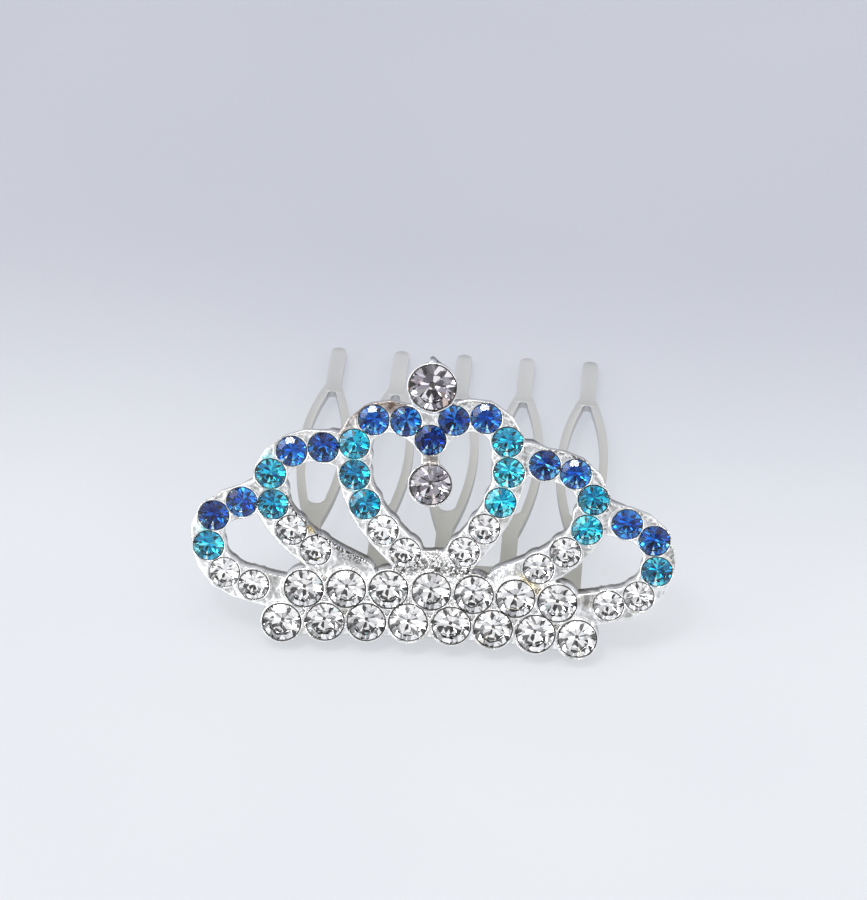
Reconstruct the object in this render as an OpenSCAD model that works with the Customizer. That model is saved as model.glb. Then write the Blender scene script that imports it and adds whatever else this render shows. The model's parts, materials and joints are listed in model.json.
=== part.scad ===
// Tiara comb: one cast face leaning back over a five tooth comb that lies on the surface.
// Millimetres, +Z up. X runs across the face, -Y is the front, the teeth point to +Y.
// The face is drawn flat (u across, v up the face, w out of its front) and then leaned back.

/* [Stones] */
// Diameter of the small coloured and clear stones
stone_d = 3.05; // [2.8:0.05:3.1]
// Diameter of the stones in the two base rows
base_stone_d = 3.9; // [3.5:0.05:3.95]
// Diameter of the stone hung in the heart
drop_stone_d = 4.15; // [3.6:0.05:4.4]
// Diameter of the stone on top
top_stone_d = 4.7; // [4:0.05:5]
// Height of a crown as a share of the stone's diameter
crown_share = 0.2; // [0.14:0.01:0.26]
// Depth of a pavilion as a share of the stone's diameter
pavilion_share = 0.38; // [0.3:0.01:0.42]
// Width of a table as a share of the stone's diameter
table_share = 0.56; // [0.45:0.01:0.66]
// Width of the flat under a stone as a share of the stone's diameter
culet_share = 0.12; // [0.06:0.01:0.3]
// Thickness of a girdle
girdle_t = 0.18; // [0.1:0.02:0.3]

/* [Casting] */
// Thickness of the bands that join the cups
band_t = 1.85; // [1.6:0.05:2.2]
// Width of the bands
band_w = 3.5; // [3.2:0.05:4]
// How far the bands sit outside the line of the stones
band_shift = 0.18; // [0:0.02:0.3]
// Height of a small cup's rim above the back
cup_h = 2.15; // [2:0.05:2.6]
// Height of a base, drop or top cup's rim above the back
big_cup_h = 2.45; // [2.3:0.05:3]
// Metal around a stone at its rim
rim_w = 0.22; // [0.16:0.02:0.4]
// How far a girdle sits below its rim
girdle_sink = 0.3; // [0.2:0.05:0.4]
// Play between a stone and its seat
seat_play = 0.04; // [0.02:0.01:0.08]
// Width of the solid neck that carries the drop cup
neck_w = 2.0; // [1.4:0.1:2.6]
// Height of the plain metal between the cups of the base
web_t = 1.5; // [1.2:0.1:1.8]
// How far that plain metal stays inside the stones' outline
web_in = 0.2; // [0.1:0.05:0.4]
// Diameter of the casting nub on the top cup
nub_d = 0.8; // [0.5:0.1:1]

/* [Layout of the face] */
// Gap between neighbouring small stones along a band
stone_clear = 0.21; // [0.17:0.01:0.3]
// Gap between neighbouring stones of a base row
base_clear = 0.44; // [0.3:0.02:0.6]
// Gap between a stone of one base row and its neighbours in the other
row_clear = 0.25; // [0.18:0.01:0.4]
// Height of the lower base row in the middle
lower_row_v = 2.9; // [2.7:0.05:3.2]
// Radius that the base rows arch with
arch_r = 170; // [120:5:400]
// Across position of the heart's first stones
heart_u = 2.45; // [2.3:0.05:2.8]
// Height of the heart's lowest stones over the upper base row
heart_rise = 4.1; // [3.7:0.05:4.6]
// Gap between the heart's centre stone and the two beside it
vee_clear = 0.11; // [0.08:0.01:0.3]
// Length of the neck between the heart's centre stone and the drop stone
neck_l = 1.08; // [0.8:0.02:1.4]
// Sideways set of the drop stone
drop_u = -0.2; // [-0.3:0.05:0.3]
// Gap between the top stone and the heart's first stones
top_clear = 0.25; // [0.18:0.01:0.5]
// Sideways set of the top stone
top_u = 0.35; // [-0.3:0.05:0.5]
// Gap between the heart's stones and the first stone of an inner loop
inner_clear = 0.38; // [0.3:0.02:0.7]
// Height of the inner loops' lowest stones over the upper base row
inner_rise = 3.31; // [3:0.05:3.7]
// Gap between an inner loop's stones and the first stone of the outer loop
outer_clear = 0.12; // [0.1:0.02:0.5]
// Height of the outer loops' lowest stones over the lower base row
outer_rise = 3.08; // [2.8:0.05:3.4]
// Angle that the heart is turned in the face
heart_turn = 4.2; // [0:0.1:5]
// Angle that the inner loops are turned in the face
inner_turn = -1.4; // [-2:0.1:0]
// Sideways set of the inner loops
inner_set = -0.45; // [-0.6:0.05:-0.3]
// Height of the point that the heart and loops turn about
turn_v = 13.3; // [10:0.1:16]
// Across position of the feet of the heart's bands
heart_foot_u = 0.9; // [0.6:0.1:1.2]
// Height of the heart's feet over the upper base row
heart_foot_v = 1.4; // [1:0.1:1.8]
// Across position of the feet of the inner loops
inner_foot_u = 7.4; // [7:0.1:7.8]
// Height of the inner loops' feet over the upper base row
inner_foot_v = 1.6; // [1.2:0.1:2]
// Across position of the feet of the outer loops
outer_foot_u = 13.9; // [13.5:0.1:14.3]
// Height of the outer loops' feet under the upper base row
outer_foot_v = 0.7; // [0.4:0.1:1]
// Angle that the face leans back from upright
lean = 32; // [25:1:40]

/* [Comb] */
// Distance between neighbouring teeth
tooth_pitch = 6.88; // [6.6:0.05:7.4]
// Length of a tooth from the spine to its tip
tooth_l = 34.15; // [28:0.05:38]
// Width of a tooth's stem and of its tip
stem_w = 1.65; // [1.4:0.05:2]
// Widest width of a tooth
leaf_w = 5.4; // [4.6:0.1:5.6]
// Width of the wire on each side of a tooth's long eye
arm_w = 0.9; // [0.8:0.05:1.1]
// Radius of the eye's end by the spine as a share of the eye's half width
eye_low = 0.53; // [0.4:0.01:0.7]
// Radius of the eye's end by the tip as a share of the eye's half width
eye_high = 0.24; // [0.2:0.01:0.35]
// Radius of a tooth's long sides
leaf_r = 34; // [30:1:40]
// Distance from the spine to the widest place
leaf_at = 16; // [15:0.1:18]
// Metal thickness of the comb
comb_t = 0.9; // [0.8:0.05:1.1]
// Radius that the comb is curved with
comb_r = 147; // [110:1:200]
// Corner radius between a tooth and the spine
root_r = 1.0; // [0.6:0.1:1.4]
// Sideways set of the comb behind the face
comb_set = 0.65; // [-1:0.05:1]
// Depth of the comb's spine behind the face
spine_w = 4.1; // [3.8:0.05:5]
// Height of the comb's flange up the back of the face
flange_l = 3.0; // [2.4:0.1:3.6]
// Play filled by the glue between flange and casting
glue_gap = 0.05; // [0.02:0.01:0.1]

/* [Hidden] */
PIECES = ["crown_frame", "comb", "top_stone", "drop_stone", "base_stones_upper", "base_stones_lower"];
function numbered(name, k) = str(name, k < 10 ? "0" : "", k);

// headings of the first step of each band, then the turn at each further stone
HEART = [3.5, [-53.5, -38.8, -18, -15.4, -9.7]];
INNER = [-11.5, [-40.2, -46, -30.5, -15.1]];
OUTER = [-29, [-53.2, -39.4, -38]];

UPPER = 7;
LOWER = 8;
TEETH = 5;
SIDES = 8;

$fn = 48;
LONG_ARC = 96;
FULL_ARC = 360;
EPS = 0.02;

// layout
stone_pitch = stone_d + stone_clear;
base_pitch = base_stone_d + base_clear;
row_step = sqrt(pow(base_stone_d + row_clear, 2) - pow(base_pitch / 2, 2));
upper_row_v = lower_row_v + row_step;

function turned(p, a) = [p.x * cos(a) - (p.y - turn_v) * sin(a),
                         p.x * sin(a) + (p.y - turn_v) * cos(a) + turn_v];
function heading(band, k) = k == 0 ? band[0] : heading(band, k - 1) + band[1][k - 1];
function step(a, l) = [l * cos(a), l * sin(a)];
function walk(band, start, k) = k == 0 ? start
    : walk(band, start, k - 1) + step(heading(band, k - 1), stone_pitch);
function stones_of(band, start) = [for (k = [0 : len(band[1]) + 1]) walk(band, start, k)];
// how far the last stone of a band lies above its first
function rise(band) = walk(band, [0, 0], len(band[1]) + 1).y;
function mirrored(pts, side) = [for (p = pts) [side * p.x, p.y]];
function in_heart(pts, side) = [for (p = mirrored(pts, side)) turned(p, heart_turn)];
function in_inner(pts, side) = [for (p = mirrored(pts, side)) turned(p, inner_turn) + [inner_set, 0]];
function arch(u, v) = v - u * u / (2 * arch_r);
function row(n, v) = [for (k = [0 : n - 1]) let(u = (k - (n - 1) / 2) * base_pitch) [u, arch(u, v)]];
// how high a stone lies over another at a set distance, at a sideways step
function above(apart, aside) = sqrt(apart * apart - aside * aside);

heart_v = upper_row_v + heart_rise - rise(HEART);
heart_flat = stones_of(HEART, [heart_u, heart_v]);
vee_v = heart_v - above(stone_d + vee_clear, heart_u);
drop_v = vee_v - (stone_d + drop_stone_d) / 2 - neck_l;
top_v = heart_v + above((stone_d + top_stone_d) / 2 + top_clear, heart_u - top_u);
inner_u = heart_flat[3].x + stone_d + inner_clear;
inner_flat = stones_of(INNER, [inner_u, upper_row_v + inner_rise - rise(INNER)]);
outer_u = inner_flat[3].x - inner_set + stone_d + outer_clear;
outer_flat = stones_of(OUTER, [outer_u, lower_row_v + outer_rise - rise(OUTER)]);
heart_l = in_heart(heart_flat, -1);
heart_rt = in_heart(heart_flat, 1);
inner_l = in_inner(inner_flat, -1);
inner_rt = in_inner(inner_flat, 1);
outer_l = mirrored(outer_flat, -1);
outer_rt = outer_flat;
vee = turned([0, vee_v], heart_turn);
drop = turned([drop_u, drop_v], heart_turn);
top = turned([top_u, top_v], heart_turn);
upper_row = row(UPPER, upper_row_v);
lower_row = row(LOWER, lower_row_v);

function part(pts, a, b) = [for (k = [a : b]) pts[k]];
blues = concat([vee], part(heart_l, 0, 1), part(heart_rt, 0, 1), part(inner_l, 0, 1),
               part(inner_rt, 0, 1), part(outer_l, 0, 1), part(outer_rt, 0, 1));
aquas = concat(part(heart_l, 2, 4), part(heart_rt, 2, 4), part(inner_l, 2, 3),
               part(inner_rt, 2, 3), [outer_l[2]], [outer_rt[2]]);
clears = concat(part(heart_l, 5, 6), part(heart_rt, 5, 6), part(inner_l, 4, 5),
                part(inner_rt, 4, 5), part(outer_l, 3, 4), part(outer_rt, 3, 4));

// where the face and the comb stand
// the lowest cup's rim touches the surface with its back edge
low_v = min([for (p = lower_row) p.y]) - base_stone_d / 2 - seat_play - rim_w;
face_lift = -low_v * cos(lean);
// the comb's tips touch it with their undersides
comb_top_z = comb_r - sqrt(pow(comb_r - comb_t / 2, 2) - tooth_l * tooth_l);
comb_w = (TEETH - 1) * tooth_pitch + stem_w;
// the back of the face at the height of the spine
back_y = (comb_top_z - face_lift) * tan(lean);
root_y = back_y + spine_w;
front_y = low_v * sin(lean) - big_cup_h * cos(lean);
tip_y = root_y + tooth_l;
mid_y = (tip_y + front_y) / 2;

module on_face() {
    translate([0, -mid_y, face_lift]) rotate([90 - lean, 0, 0]) children();
}

// stones
// two octagons turned half a side: sixteen facets, with an octagonal table where high < low
module octagon_cone(h, low, high) {
    corner = cos(180 / SIDES);
    intersection() {
        cylinder(h = h, r1 = low / corner, r2 = high / corner, $fn = SIDES);
        rotate(180 / SIDES) cylinder(h = h, r1 = low / corner, r2 = high / pow(corner, 2), $fn = SIDES);
    }
}

module octagon_prism(h, r) {
    corner = cos(180 / SIDES);
    linear_extrude(h) intersection() {
        circle(r = r / corner, $fn = SIDES);
        rotate(180 / SIDES) circle(r = r / corner, $fn = SIDES);
    }
}

// girdle at z = 0, table up
module cut_stone(d) {
    flat_r = d / 2 * cos(90 / SIDES);
    translate([0, 0, girdle_t / 2]) octagon_cone(crown_share * d, flat_r, table_share * d / 2);
    translate([0, 0, -girdle_t / 2]) octagon_prism(girdle_t, flat_r);
    translate([0, 0, -girdle_t / 2]) mirror([0, 0, 1])
        octagon_cone(pavilion_share * d, flat_r, culet_share * d / 2);
}

module set_stone(p, d, h) {
    on_face() translate([p.x, p.y, h - girdle_sink]) cut_stone(d);
}

// the hole that a stone sits in: straight to the girdle, then tapered to its point
module seat(p, d, h) {
    r = d / 2 + seat_play;
    deep = pavilion_share * d + girdle_t / 2 + seat_play;
    translate([p.x, p.y, h - girdle_sink - deep])
        rotate_extrude()
            polygon([[0, 0], [culet_share * r + seat_play, 0], [r, deep - girdle_t], [r, deep + girdle_sink + EPS],
                     [0, deep + girdle_sink + EPS]]);
}

// casting, drawn flat
function away(a, b) = let(d = b - a, l = norm(d)) [-d.y / l, d.x / l];
function offset_at(pts, k, s) =
    let(n = len(pts),
        a = k == 0 ? away(pts[0], pts[1]) : away(pts[k - 1], pts[k]),
        b = k == n - 1 ? a : away(pts[k], pts[k + 1]),
        m = a + b)
    pts[k] + s * m / norm(m);

// between two stones the line bows out as the arc through them would
function bow(pts, k) =
    let(n = len(pts),
        d = pts[k + 1] - pts[k],
        before = k == 0 ? d : pts[k] - pts[k - 1],
        after = k == n - 2 ? d : pts[k + 2] - pts[k + 1],
        bend = (atan2(cross(before, d), before * d) + atan2(cross(d, after), d * after)) / 2)
    (pts[k] + pts[k + 1]) / 2 - away(pts[k], pts[k + 1]) * norm(d) / 2 * tan(bend / 4);
function bowed(pts) = [for (k = [0 : 2 * (len(pts) - 1)])
    k % 2 == 0 ? pts[k / 2] : bow(pts, (k - 1) / 2)];

// a band of round joints and straight lengths along a line of points, set off to one side
module band(pts, w, s) {
    line = [for (k = [0 : len(pts) - 1]) offset_at(pts, k, s)];
    for (k = [0 : len(line) - 1]) translate(line[k]) circle(d = w + EPS);
    for (k = [0 : len(line) - 2]) {
        d = line[k + 1] - line[k];
        translate(line[k]) rotate(atan2(d.y, d.x)) translate([0, -w / 2]) square([norm(d), w]);
    }
}

// each band starts in its neighbour and ends in the base
function carried(pts, root, foot) = concat([root], pts, [foot]);

module loops_flat() {
    for (side = [-1, 1]) {
        h = side < 0 ? heart_l : heart_rt;
        i = side < 0 ? inner_l : inner_rt;
        o = side < 0 ? outer_l : outer_rt;
        band(bowed(carried(h, vee, [side * heart_foot_u, upper_row[3].y + heart_foot_v])),
             band_w, side * band_shift);
        band(bowed(carried(i, (h[2] + h[3]) / 2, [side * inner_foot_u, upper_row[5].y + inner_foot_v])),
             band_w, side * band_shift);
        band(bowed(carried(o, (i[2] + 2 * i[3]) / 3, [side * outer_foot_u, upper_row[6].y - outer_foot_v])),
             band_w, side * band_shift);
    }
    band([vee, top], neck_w, 0);
    band([vee, drop], neck_w, 0);
}

module cups_flat(pts, d) {
    for (p = pts) translate(p) circle(d = d + 2 * (seat_play + rim_w));
}

small = concat(blues, aquas, clears);

module casting_flat() {
    linear_extrude(band_t) loops_flat();
    linear_extrude(web_t) {
        band(lower_row, base_stone_d - 2 * web_in, 0);
        band(upper_row, base_stone_d - 2 * web_in, 0);
        // plain fill in the heart's point and between the feet of the loops
        polygon([upper_row[2], heart_l[6], heart_rt[6], upper_row[4]]);
        polygon([upper_row[0], inner_l[5], upper_row[1]]);
        polygon([upper_row[5], inner_rt[5], upper_row[6]]);
    }
    linear_extrude(cup_h) cups_flat(small, stone_d);
    linear_extrude(big_cup_h) {
        cups_flat(concat(upper_row, lower_row), base_stone_d);
        cups_flat([drop], drop_stone_d);
        cups_flat([top], top_stone_d);
    }
    translate(top) rotate(heart_turn) translate([0, top_stone_d / 2, 0])
        linear_extrude(band_t) circle(d = nub_d);
}

module crown_frame() {
    color("gainsboro") on_face() difference() {
        casting_flat();
        for (p = small) seat(p, stone_d, cup_h);
        for (p = concat(upper_row, lower_row)) seat(p, base_stone_d, big_cup_h);
        seat(drop, drop_stone_d, big_cup_h);
        seat(top, top_stone_d, big_cup_h);
    }
}

// comb
// the long sides of a tooth: two arcs that meet at the ends
module lens(r, half_w) {
    intersection() {
        translate([r - half_w, 0]) circle(r = r, $fn = LONG_ARC);
        translate([half_w - r, 0]) circle(r = r, $fn = LONG_ARC);
    }
}

function lens_y(r, half_w, x) = sqrt(r * r - pow(r - half_w + x, 2));

module needle_eye() {
    r = leaf_r - arm_w;
    half_w = leaf_w / 2 - arm_w;
    // the end by the spine is a wide U and the one by the tip a narrow one
    low = half_w * eye_low;
    high = half_w * eye_high;
    translate([0, -lens_y(r, half_w, low)]) circle(r = low + EPS);
    translate([0, lens_y(r, half_w, high)]) circle(r = high + EPS);
    intersection() {
        lens(r, half_w);
        translate([-leaf_w, -lens_y(r, half_w, low)])
            square([2 * leaf_w, lens_y(r, half_w, low) + lens_y(r, half_w, high)]);
    }
}

module tooth_plan() {
    difference() {
        union() {
            translate([0, leaf_at]) lens(leaf_r, leaf_w / 2);
            translate([-stem_w / 2, -spine_w / 2]) square([stem_w, tooth_l - stem_w / 2 + spine_w / 2]);
            translate([0, tooth_l - stem_w / 2]) circle(d = stem_w);
        }
        translate([0, leaf_at]) needle_eye();
    }
}

module comb_plan() {
    back = spine_w + flange_l + comb_t;
    gap = tooth_pitch - stem_w;
    translate([-comb_w / 2, 0]) {
        for (k = [0 : TEETH - 1]) translate([k * tooth_pitch + stem_w / 2, 0]) tooth_plan();
        difference() {
            translate([0, -back]) square([comb_w, back + root_r]);
            // rounded roots between the teeth
            for (k = [0 : TEETH - 2]) translate([k * tooth_pitch + stem_w, 0]) {
                translate([root_r, 0]) square([gap - 2 * root_r, 2 * root_r]);
                for (x = [root_r, gap - root_r]) translate([x, root_r]) circle(r = root_r);
                translate([0, root_r]) square([gap, root_r]);
            }
        }
    }
}

// side view: y to the tips, z up, from the flange over the spine to the tips
module comb_side() {
    bend_y = back_y + (glue_gap + comb_t / 2) / cos(lean);
    bend = [bend_y, comb_top_z - comb_r + sqrt(comb_r * comb_r - pow(root_y - bend_y, 2))];
    intersection() {
        translate([root_y, comb_top_z - comb_r]) difference() {
            circle(r = comb_r + comb_t / 2, $fn = FULL_ARC);
            circle(r = comb_r - comb_t / 2, $fn = FULL_ARC);
        }
        translate([bend.x, -comb_t]) square([tip_y - bend.x + comb_t, comb_top_z + 2 * comb_t]);
    }
    // the sheet turns down at the bend and its flange lies on the back of the casting
    translate(bend) {
        circle(d = comb_t + EPS);
        rotate(90 - lean) translate([-flange_l, -comb_t / 2]) square([flange_l, comb_t]);
    }
}

module comb() {
    color("darkgray") intersection() {
        translate([comb_set, root_y - mid_y, -comb_t]) linear_extrude(comb_top_z + 3 * comb_t) comb_plan();
        translate([0, -mid_y, 0]) rotate([90, 0, 90])
            linear_extrude(2 * comb_w, center = true) comb_side();
    }
}

// nodes
module top_stone() { color("white") set_stone(top, top_stone_d, big_cup_h); }
module drop_stone() { color("white") set_stone(drop, drop_stone_d, big_cup_h); }
module base_stones_upper() { color("white") for (p = upper_row) set_stone(p, base_stone_d, big_cup_h); }
module base_stones_lower() { color("white") for (p = lower_row) set_stone(p, base_stone_d, big_cup_h); }
module blue_stone(k) { color("royalblue") set_stone(blues[k - 1], stone_d, cup_h); }
module aqua_stone(k) { color("darkturquoise") set_stone(aquas[k - 1], stone_d, cup_h); }
module clear_stone(k) { color("white") set_stone(clears[k - 1], stone_d, cup_h); }

for (k = [1 : len(blues)])
    blue_stone(k);
for (k = [1 : len(aquas)])
    aqua_stone(k);
for (k = [1 : len(clears)])
    clear_stone(k);
crown_frame();
comb();
top_stone();
drop_stone();
base_stones_upper();
base_stones_lower();
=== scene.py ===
# %% [markdown]
# # A small tiara comb
# One cast silver face leans back over a five tooth comb that lies on the table. Heart, loops and base
# carry fifty-four glass stones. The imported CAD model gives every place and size, and this file gives
# the looks. All lengths are metres, in the same frame as the CAD.

# %% Load the frame
import json
import math
import random

import bpy
import numpy as np
from mathutils import Matrix, Vector

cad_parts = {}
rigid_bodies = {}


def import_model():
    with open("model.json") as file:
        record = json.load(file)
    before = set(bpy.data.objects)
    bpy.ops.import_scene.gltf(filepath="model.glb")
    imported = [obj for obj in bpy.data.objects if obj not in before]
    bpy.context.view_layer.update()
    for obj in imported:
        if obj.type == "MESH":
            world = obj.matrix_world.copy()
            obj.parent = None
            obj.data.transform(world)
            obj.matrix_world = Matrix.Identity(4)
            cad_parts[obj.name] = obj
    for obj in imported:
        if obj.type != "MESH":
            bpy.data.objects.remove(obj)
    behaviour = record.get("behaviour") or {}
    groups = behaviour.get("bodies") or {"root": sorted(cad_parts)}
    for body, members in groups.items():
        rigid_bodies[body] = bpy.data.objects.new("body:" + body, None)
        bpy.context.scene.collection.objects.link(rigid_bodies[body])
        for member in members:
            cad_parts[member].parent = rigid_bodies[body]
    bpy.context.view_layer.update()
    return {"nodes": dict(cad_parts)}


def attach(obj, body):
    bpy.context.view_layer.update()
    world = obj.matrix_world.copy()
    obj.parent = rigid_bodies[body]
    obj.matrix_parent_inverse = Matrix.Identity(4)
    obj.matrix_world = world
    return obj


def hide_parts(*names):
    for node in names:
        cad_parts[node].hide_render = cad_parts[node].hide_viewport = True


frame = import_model()
nodes = frame["nodes"]
MM = 0.001

# %% [markdown]
# ## Axes of the face
# The face leans back by 32 degrees. Work on it is easier in its own directions: u across, v up the
# face and w out of its front. A plain turn about X links them to the frame, so no shift is needed and
# a stone's place is read straight from its CAD node.

# %% Axes of the face
LEAN = math.radians(32)
ACROSS = Vector((1, 0, 0))
UP = Vector((0, math.sin(LEAN), math.cos(LEAN)))
OUT = Vector((0, -math.cos(LEAN), math.sin(LEAN)))
FACE = Matrix((ACROSS, UP, OUT)).transposed().to_4x4()


def points_of(mesh):
    """A mesh's points as rows of x, y, z."""
    flat = np.empty(len(mesh.vertices) * 3)
    mesh.vertices.foreach_get("co", flat)
    return flat.reshape(-1, 3)


def spots(name):
    """A node's points as rows of u, v, w."""
    return points_of(nodes[name].data) @ np.array([ACROSS, UP, OUT]).T


back_w = spots("crown_frame")[:, 2].min()
print("back of the casting at w", round(back_w / MM, 3))

# %% [markdown]
# ## Helpers for work by hand
# Each piece starts as a primitive or as a copy of its CAD node, is shaped with operators and
# modifiers and ends with its place in its mesh. An operator acts on everything selected, so the
# helpers clear the selection first.


# %% Helpers for work by hand
def pick(*objects):
    """Select only these, the first one active."""
    for o in bpy.context.view_layer.objects:
        o.select_set(False)
    for o in objects:
        o.select_set(True)
    bpy.context.view_layer.objects.active = objects[0]


def apply(ob, kind, **settings):
    """Add a modifier, set it and apply it."""
    pick(ob)
    m = ob.modifiers.new(kind.lower(), kind)
    for key, value in settings.items():
        setattr(m, key, value)
    bpy.ops.object.modifier_apply(modifier=m.name)


def joined(name, parts):
    """Join objects to one, with its place in its mesh."""
    pick(*parts)
    if len(parts) > 1:
        bpy.ops.object.join()
    ob = bpy.context.object
    ob.name = ob.data.name = name
    return ob


def twin(ob, name, matrix):
    """A copy with its own mesh, moved by moving its points."""
    mesh = ob.data.copy()
    mesh.transform(matrix)
    copy = bpy.data.objects.new(name, mesh)
    mesh.name = name
    bpy.context.scene.collection.objects.link(copy)
    return copy


def dress(ob, material, slot, *replaced):
    """Give a finished piece its material, body and the nodes it stands for. The slot is not used."""
    if material:
        ob.data.materials.clear()
        ob.data.materials.append(material)
    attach(ob, "root")
    if replaced:
        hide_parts(*replaced)
    print(ob.name, len(ob.data.polygons), "faces")


# %% [markdown]
# ## Camera
# The photograph looks down on the face from 48 degrees, a little from the right, with a long lens. The
# lens is given as if the long side of the frame were 36 mm wide.

# %% Camera
VIEW_AZ, VIEW_EL = math.radians(4.5), math.radians(48)
VIEW_L = 450 * MM
AIM = Vector((0, -14.08, 12.24)) * MM
LENS, SENSOR, SHIFT_UP = 176.4, 36, 0.085
NEAREST, FARTHEST = 0.01, 20
towards = Vector((math.sin(VIEW_AZ) * math.cos(VIEW_EL), -math.cos(VIEW_AZ) * math.cos(VIEW_EL),
                  math.sin(VIEW_EL)))
camera = bpy.data.objects.new("camera", bpy.data.cameras.new("camera"))
bpy.context.scene.collection.objects.link(camera)
camera.location = AIM + towards * VIEW_L
camera.rotation_euler = (-towards).to_track_quat("-Z", "Y").to_euler()
camera.data.sensor_width = SENSOR
camera.data.lens = LENS
camera.data.shift_y = SHIFT_UP
camera.data.clip_start, camera.data.clip_end = NEAREST, FARTHEST
bpy.context.scene.camera = camera

# %% [markdown]
# ## Helpers for nodes
# Sky and finishes are built from shader nodes. A socket is fed either by another node's output or with
# a plain value. One helper does both, so that a finish reads as a list of what feeds what.


# %% Helpers for nodes
def feed(tree, n, sources):
    """Feed a node's sockets, by name or number, from other nodes' outputs or with values."""
    for key, source in sources.items():
        socket = n.inputs[key]
        if isinstance(source, bpy.types.NodeSocket):
            tree.links.new(source, socket)
        elif socket.type == "RGBA":
            socket.default_value = (*source, 1)
        else:
            socket.default_value = source


def node(tree, kind, sources=None, **settings):
    """Add a shader node with its settings, then feed its sockets."""
    n = tree.nodes.new("ShaderNode" + kind)
    for key, value in settings.items():
        setattr(n, key, value)
    feed(tree, n, sources or {})
    return n


def ramp(tree, stops, source):
    """A colour ramp from (place, grey or colour) pairs, driven by a socket."""
    n = node(tree, "ValToRGB", {0: source})
    while len(n.color_ramp.elements) < len(stops):
        n.color_ramp.elements.new(0.5)
    for element, (place, colour) in zip(n.color_ramp.elements, stops):
        element.position = place
        if isinstance(colour, (int, float)):
            colour = (colour,) * 3
        element.color = (*colour, 1)
    return n.outputs[0]


def mixed(tree, factor, a, b, blend="MIX"):
    """Colour a with colour b mixed or blended into it by the factor."""
    n = node(tree, "Mix", {"Factor": factor, "A": a, "B": b}, data_type="RGBA", blend_type=blend)
    return n.outputs["Result"]


def math_of(tree, operation, a, b):
    """One operation on two numbers."""
    return node(tree, "Math", {0: a, 1: b}, operation=operation).outputs[0]


def nearness(tree, a, b):
    """The dot product of two vectors: for directions, 1 where they agree."""
    return node(tree, "VectorMath", {0: a, 1: b}, operation="DOT_PRODUCT").outputs["Value"]


def along_axis(tree, place, axis, low, high, **settings):
    """0 to 1 as a point passes from low to high along an axis."""
    sources = {"Value": nearness(tree, place, axis), "From Min": low, "From Max": high}
    return node(tree, "MapRange", sources, **settings).outputs[0]


def noise(tree, place, scale, detail):
    """Soft chance changes over a piece, from 0 to 1."""
    return node(tree, "TexNoise", {"Vector": place, "Scale": scale, "Detail": detail}).outputs["Fac"]


def relief(tree, height, strength, distance, under=None):
    """A fine relief that follows a pattern, over another one where under is given."""
    n = node(tree, "Bump", {"Height": height, "Strength": strength, "Distance": distance})
    if under:
        feed(tree, n, {"Normal": under})
    return n.outputs[0]


def finish_of(name):
    """A new material with its tree and its main shader."""
    m = bpy.data.materials.new(name)
    m.use_nodes = True
    return m, m.node_tree, m.node_tree.nodes["Principled BSDF"]


# %% [markdown]
# ## Light
# Soft daylight from all round, brightest from above. Cut stones and plate need dark as well as light
# to reflect. Lamps would cast hard shadows, so the sky itself holds the bright panels and the darker
# patches. It falls off near the ground, and one dark patch is where the viewer stands.

# %% Light
world = bpy.data.worlds.new("daylight")
bpy.context.scene.world = world
world.use_nodes = True
tree = world.node_tree
where = node(tree, "TexCoord").outputs["Generated"]
height = node(tree, "SeparateXYZ", {0: where}).outputs["Z"]
light = ramp(tree, [(0.0, (0.66, 0.68, 0.72)), (0.10, (0.84, 0.86, 0.90)), (0.35, (0.95, 0.97, 1.0)),
                    (0.55, (1.0, 1.0, 1.0)), (1.0, (1.0, 1.0, 1.0))], height)


def patch(direction, reach, soft, inside, outside):
    """A round patch of the sky: reach is the cosine of its angle and soft half the width of its edge."""
    stops = [(reach - soft, outside), (min(reach + soft, 1), inside)]
    return ramp(tree, stops, nearness(tree, where, Vector(direction).normalized()))


# bright panels: direction, cosine of the angle that they cover, brightness
PANELS = [((0.10, 0.12, 1.0), 0.985, 3.0), ((-0.45, -0.10, 0.90), 0.988, 3.0),
          ((-0.90, -0.20, 0.45), 0.975, 2.8), ((0.90, 0.15, 0.50), 0.980, 2.8),
          ((0.55, -0.60, 0.60), 0.990, 3.0), ((-0.45, -0.85, 0.35), 0.988, 2.5),
          ((0.10, 0.80, 0.60), 0.985, 0.3), ((-0.30, -1.0, 0.10), 0.960, 0.6)]
# dark patches: the viewer, the place that the stones' tables mirror, then others round about, each
# with its direction, the cosine of its angle and the share of light that it lets through
SHADES = [(towards, 0.982, 0.05), ((-0.05, -0.96, 0.27), 0.991, 0.42), ((-0.62, -0.62, 0.62), 0.976, 0.25),
          ((0.75, -0.55, 0.35), 0.980, 0.25), ((0.35, -0.25, 0.90), 0.986, 0.20),
          ((-0.40, 0.25, 0.90), 0.984, 0.20), ((0.0, 1.0, 0.25), 0.970, 0.60)]
PANEL_SOFT, SHADE_SOFT = 0.003, 0.004
DAYLIGHT = 1.02
for direction, reach, bright in PANELS:
    light = mixed(tree, 1, light, patch(direction, reach, PANEL_SOFT, bright, 0.0), "ADD")
for direction, reach, left in SHADES:
    light = mixed(tree, 1, light, patch(direction, reach, SHADE_SOFT, left, 1.0), "MULTIPLY")
feed(tree, tree.nodes["Background"], {"Color": light, "Strength": DAYLIGHT})

# the one lamp is a small bright box that glints white on a crown flat that faces up the face
BOX_PLACE = Vector((-0.145, -0.124, 0.724))
BOX_SIDE, BOX_POWER = 0.16, 1.3
box = bpy.data.lights.new("softbox", "AREA")
box.shape = "SQUARE"
box.size = BOX_SIDE
box.energy = BOX_POWER
softbox = bpy.data.objects.new("softbox", box)
bpy.context.scene.collection.objects.link(softbox)
softbox.location = BOX_PLACE
softbox.rotation_euler = (-BOX_PLACE).to_track_quat("-Z", "Y").to_euler()
bpy.context.scene.view_settings.view_transform = "Standard"
print("sky with", len(PANELS), "panels and", len(SHADES), "dark patches")

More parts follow.
